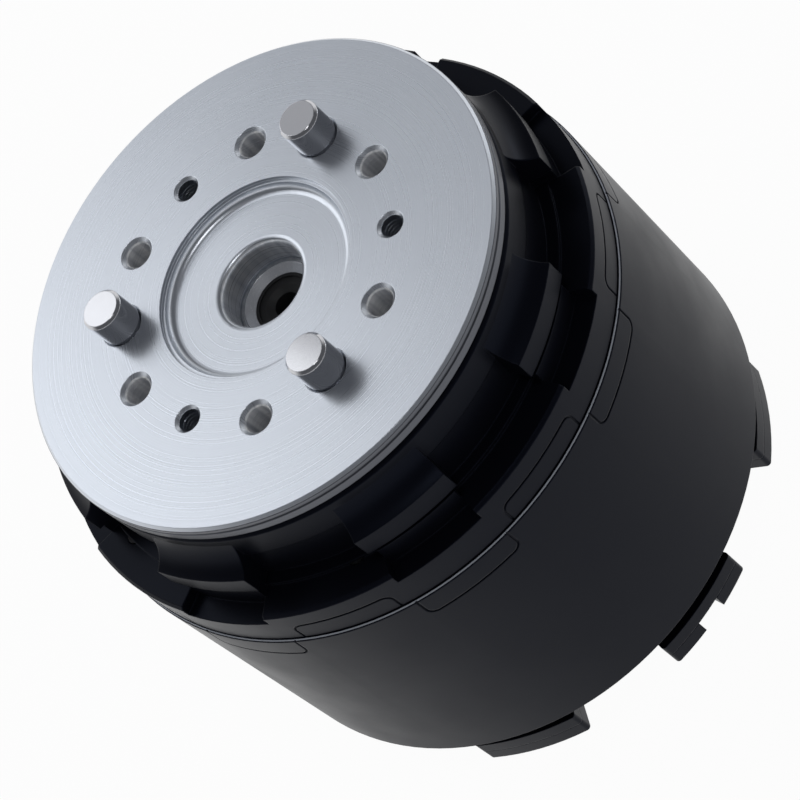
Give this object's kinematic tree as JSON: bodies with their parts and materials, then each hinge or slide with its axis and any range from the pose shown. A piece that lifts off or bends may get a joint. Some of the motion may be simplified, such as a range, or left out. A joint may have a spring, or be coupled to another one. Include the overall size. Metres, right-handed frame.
{
  "type": "hollow shaft robot joint actuator",
  "caption": "Rotary robot joint actuator: silver output flange with dowels and tapped holes, cable bore, planetary gear, motor and bayonet lugs at both ends of a dark barrel.",
  "frame": {"origin": "centre of the rear face, on the output axis", "axes": "+Z along the output axis from the rear face to the output flange; +X through the middle of a front lug"},
  "size_m": [0.113, 0.113, 0.1026],
  "materials": {
    "turned_steel": "fine concentric turning marks",
    "anodised": "satin black anodised",
    "dowel_steel": "ground",
    "tube_metal": "drawn",
    "black_rubber": "matte",
    "bearing_steel": "ground",
    "gear_steel": "hobbed and ground",
    "screw_steel": "black oxide",
    "bronze": "sintered",
    "copper_wire": "enamelled windings",
    "laminations": "stacked sheet",
    "magnet": "nickel plated",
    "inner_aluminium": "machined",
    "circuit_board": "solder mask",
    "black_plastic": "moulded",
    "white_plastic": "moulded bearing plastic"
  },
  "bodies": {
    "housing": {"front_housing": "anodised", "main_housing": "anodised", "rear_frame": "anodised", "rear_cover": "anodised", "shaft_seal": "black_rubber", "bearing_outer_ring": "bearing_steel", "bearing_retainer": "inner_aluminium", "ring_gear": "gear_steel", "clamp_screws": "screw_steel", "front_rotor_bearing_outer": "bearing_steel", "rear_rotor_bearing_outer": "bearing_steel", "stator_core": "laminations", "stator_coils": "copper_wire", "motor_end_plate": "inner_aluminium", "motor_screws": "screw_steel", "frame_screws": "screw_steel", "cover_screws": "screw_steel", "encoder_board": "circuit_board", "driver_board": "circuit_board", "board_spacers": "bronze", "board_screws": "screw_steel", "power_transistors": "black_plastic", "capacitors": "black_plastic", "power_socket": "black_plastic", "signal_socket": "black_plastic", "tube_bush": "white_plastic"},
    "output": {"output_flange": "turned_steel", "dowel_pins": "dowel_steel", "hollow_tube": "tube_metal", "cable_grommet": "black_rubber", "bearing_inner_ring": "bearing_steel", "carrier_front": "gear_steel", "carrier_rear": "gear_steel", "carrier_screws": "screw_steel", "planet_pins": "dowel_steel", "output_encoder_disc": "inner_aluminium"},
    "rotor": {"sun_gear_shaft": "gear_steel", "front_rotor_bearing_inner": "bearing_steel", "rear_rotor_bearing_inner": "bearing_steel", "rotor_hub": "gear_steel", "rotor_magnets": "magnet", "rotor_lock_ring": "bearing_steel", "rotor_encoder_disc": "inner_aluminium"},
    "roller_set": {"bearing_rollers": "bearing_steel"},
    "planet_1": {"planet_gear_1": "gear_steel", "planet_bush_1": "bronze"},
    "planet_2": {"planet_gear_2": "gear_steel", "planet_bush_2": "bronze"},
    "planet_3": {"planet_gear_3": "gear_steel", "planet_bush_3": "bronze"}
  },
  "joints": [
    {"name": "output_spin", "type": "hinge", "parent": "housing", "child": "output", "pos_m": [0, 0, 0], "axis": [0, 0, 1], "continuous": true},
    {"name": "rotor_spin", "type": "hinge", "parent": "housing", "child": "rotor", "pos_m": [0, 0, 0], "axis": [0, 0, 1], "continuous": true},
    {"name": "roller_orbit", "type": "hinge", "parent": "housing", "child": "roller_set", "pos_m": [0, 0, 0], "axis": [0, 0, 1], "continuous": true},
    {"name": "planet_1_spin", "type": "hinge", "parent": "output", "child": "planet_1", "pos_m": [0.02674, -0.00376, 0], "axis": [0, 0, 1], "continuous": true},
    {"name": "planet_2_spin", "type": "hinge", "parent": "output", "child": "planet_2", "pos_m": [-0.01011, 0.02503, 0], "axis": [0, 0, 1], "continuous": true},
    {"name": "planet_3_spin", "type": "hinge", "parent": "output", "child": "planet_3", "pos_m": [-0.01662, -0.02128, 0], "axis": [0, 0, 1], "continuous": true}
  ],
  "couplings": [
    {"joint": "rotor_spin", "follows": "output_spin", "ratio": 4.5},
    {"joint": "roller_orbit", "follows": "output_spin", "ratio": 0.47762},
    {"joint": "planet_1_spin", "follows": "output_spin", "ratio": -2.8},
    {"joint": "planet_2_spin", "follows": "output_spin", "ratio": -2.8},
    {"joint": "planet_3_spin", "follows": "output_spin", "ratio": -2.8}
  ]
}
